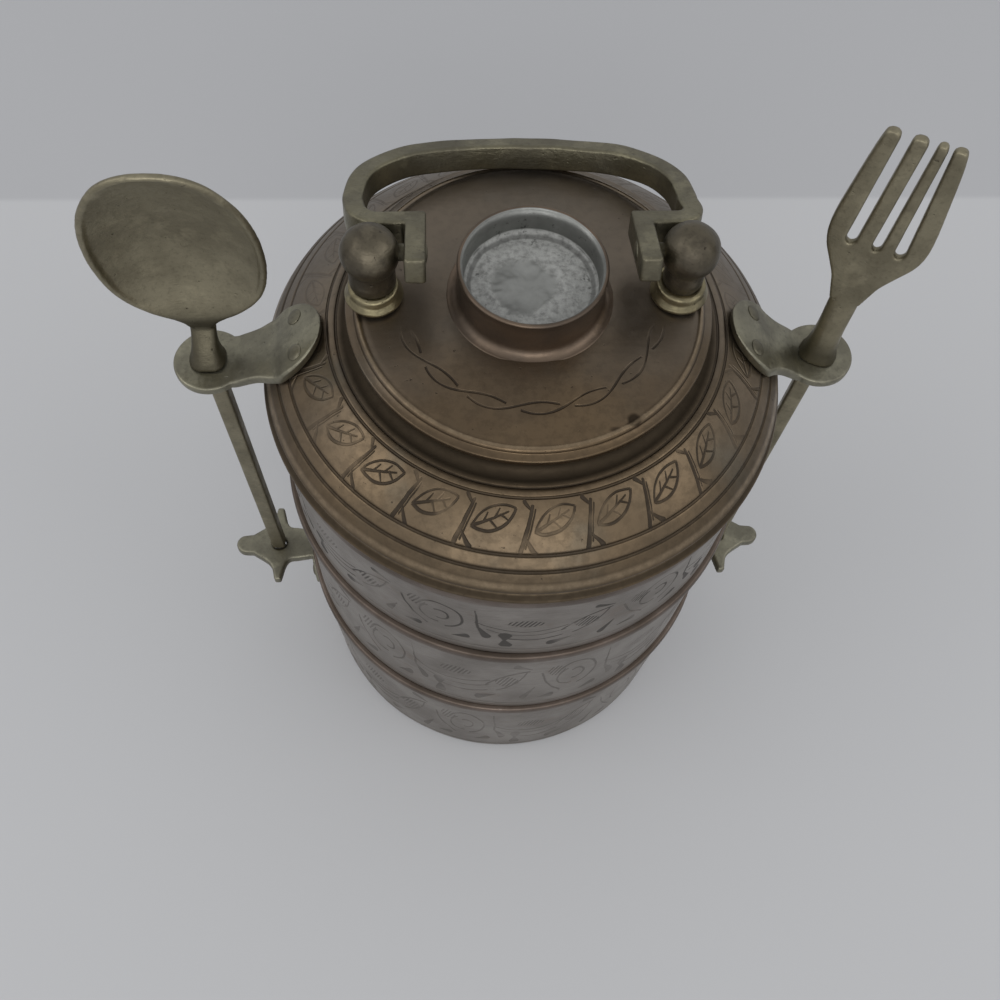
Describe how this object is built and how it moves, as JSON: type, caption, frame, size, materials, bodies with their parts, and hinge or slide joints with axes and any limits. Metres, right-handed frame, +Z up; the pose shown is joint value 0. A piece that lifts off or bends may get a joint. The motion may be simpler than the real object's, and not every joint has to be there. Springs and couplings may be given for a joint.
{
  "type": "tiffin carrier",
  "caption": "Round stacking food carrier of tinned copper bowls under a raised lid with a folding bail; a spoon and a fork tie the lid down at the sides.",
  "frame": {"origin": "centre of the bottom bowl's flat underside, which the carrier stands on", "axes": "+Z up along the bowls' axis, +X towards the fork, +Y towards the side that the bail is folded to"},
  "size_m": [0.196, 0.1408, 0.2473],
  "materials": {
    "tinned_bowl": "dull grey tinning over copper, engraved and worn",
    "lid_copper": "brown polished copper, engraved, darkened with age",
    "cup_tin": "tinned inside, with pale crust and dark spots",
    "fitting_brass": "olive-brown cast brass, worn bright on high spots",
    "worn_brass": "brass worn bright",
    "rivet_brass": "dark hammered brass",
    "cutlery_brass": "smooth brown brass, lightly pitted"
  },
  "bodies": {
    "bottom_tier": {"bottom_bowl": "tinned_bowl", "lug_left": "fitting_brass", "lug_right": "fitting_brass", "lug_rivet_left_1": "rivet_brass", "lug_rivet_left_2": "rivet_brass", "lug_rivet_right_1": "rivet_brass", "lug_rivet_right_2": "rivet_brass"},
    "middle_tier": {"middle_bowl": "tinned_bowl"},
    "top_tier": {"top_bowl": "tinned_bowl"},
    "lid": {"lid_shoulder": "lid_copper", "lid_cap": "lid_copper", "lid_cup": "cup_tin", "post_left": "fitting_brass", "post_right": "fitting_brass", "post_ring_left": "worn_brass", "post_ring_right": "worn_brass", "bracket_left": "fitting_brass", "bracket_right": "fitting_brass", "bracket_rivet_left_1": "rivet_brass", "bracket_rivet_left_2": "rivet_brass", "bracket_rivet_right_1": "rivet_brass", "bracket_rivet_right_2": "rivet_brass"},
    "bail": {"handle_bail": "fitting_brass", "pivot_pin_left": "fitting_brass", "pivot_pin_right": "fitting_brass"},
    "spoon": {"spoon": "cutlery_brass"},
    "fork": {"fork": "cutlery_brass"}
  },
  "joints": [
    {"name": "middle_tier_lift", "type": "slide", "parent": "bottom_tier", "child": "middle_tier", "axis": [0, 0, 1], "range_m": [0, 0.08]},
    {"name": "top_tier_lift", "type": "slide", "parent": "middle_tier", "child": "top_tier", "axis": [0, 0, 1], "range_m": [0, 0.08]},
    {"name": "lid_lift", "type": "slide", "parent": "top_tier", "child": "lid", "axis": [0, 0, 1], "range_m": [0, 0.08]},
    {"name": "bail_swing", "type": "hinge", "parent": "lid", "child": "bail", "pos_m": [0, 0, 0.2095], "axis": [1, 0, 0], "range_deg": [0, 213]},
    {"name": "spoon_draw", "type": "slide", "parent": "lid", "child": "spoon", "axis": [0, 0, 1], "range_m": [0, 0.13]},
    {"name": "fork_draw", "type": "slide", "parent": "lid", "child": "fork", "axis": [0, 0, 1], "range_m": [0, 0.13]}
  ]
}
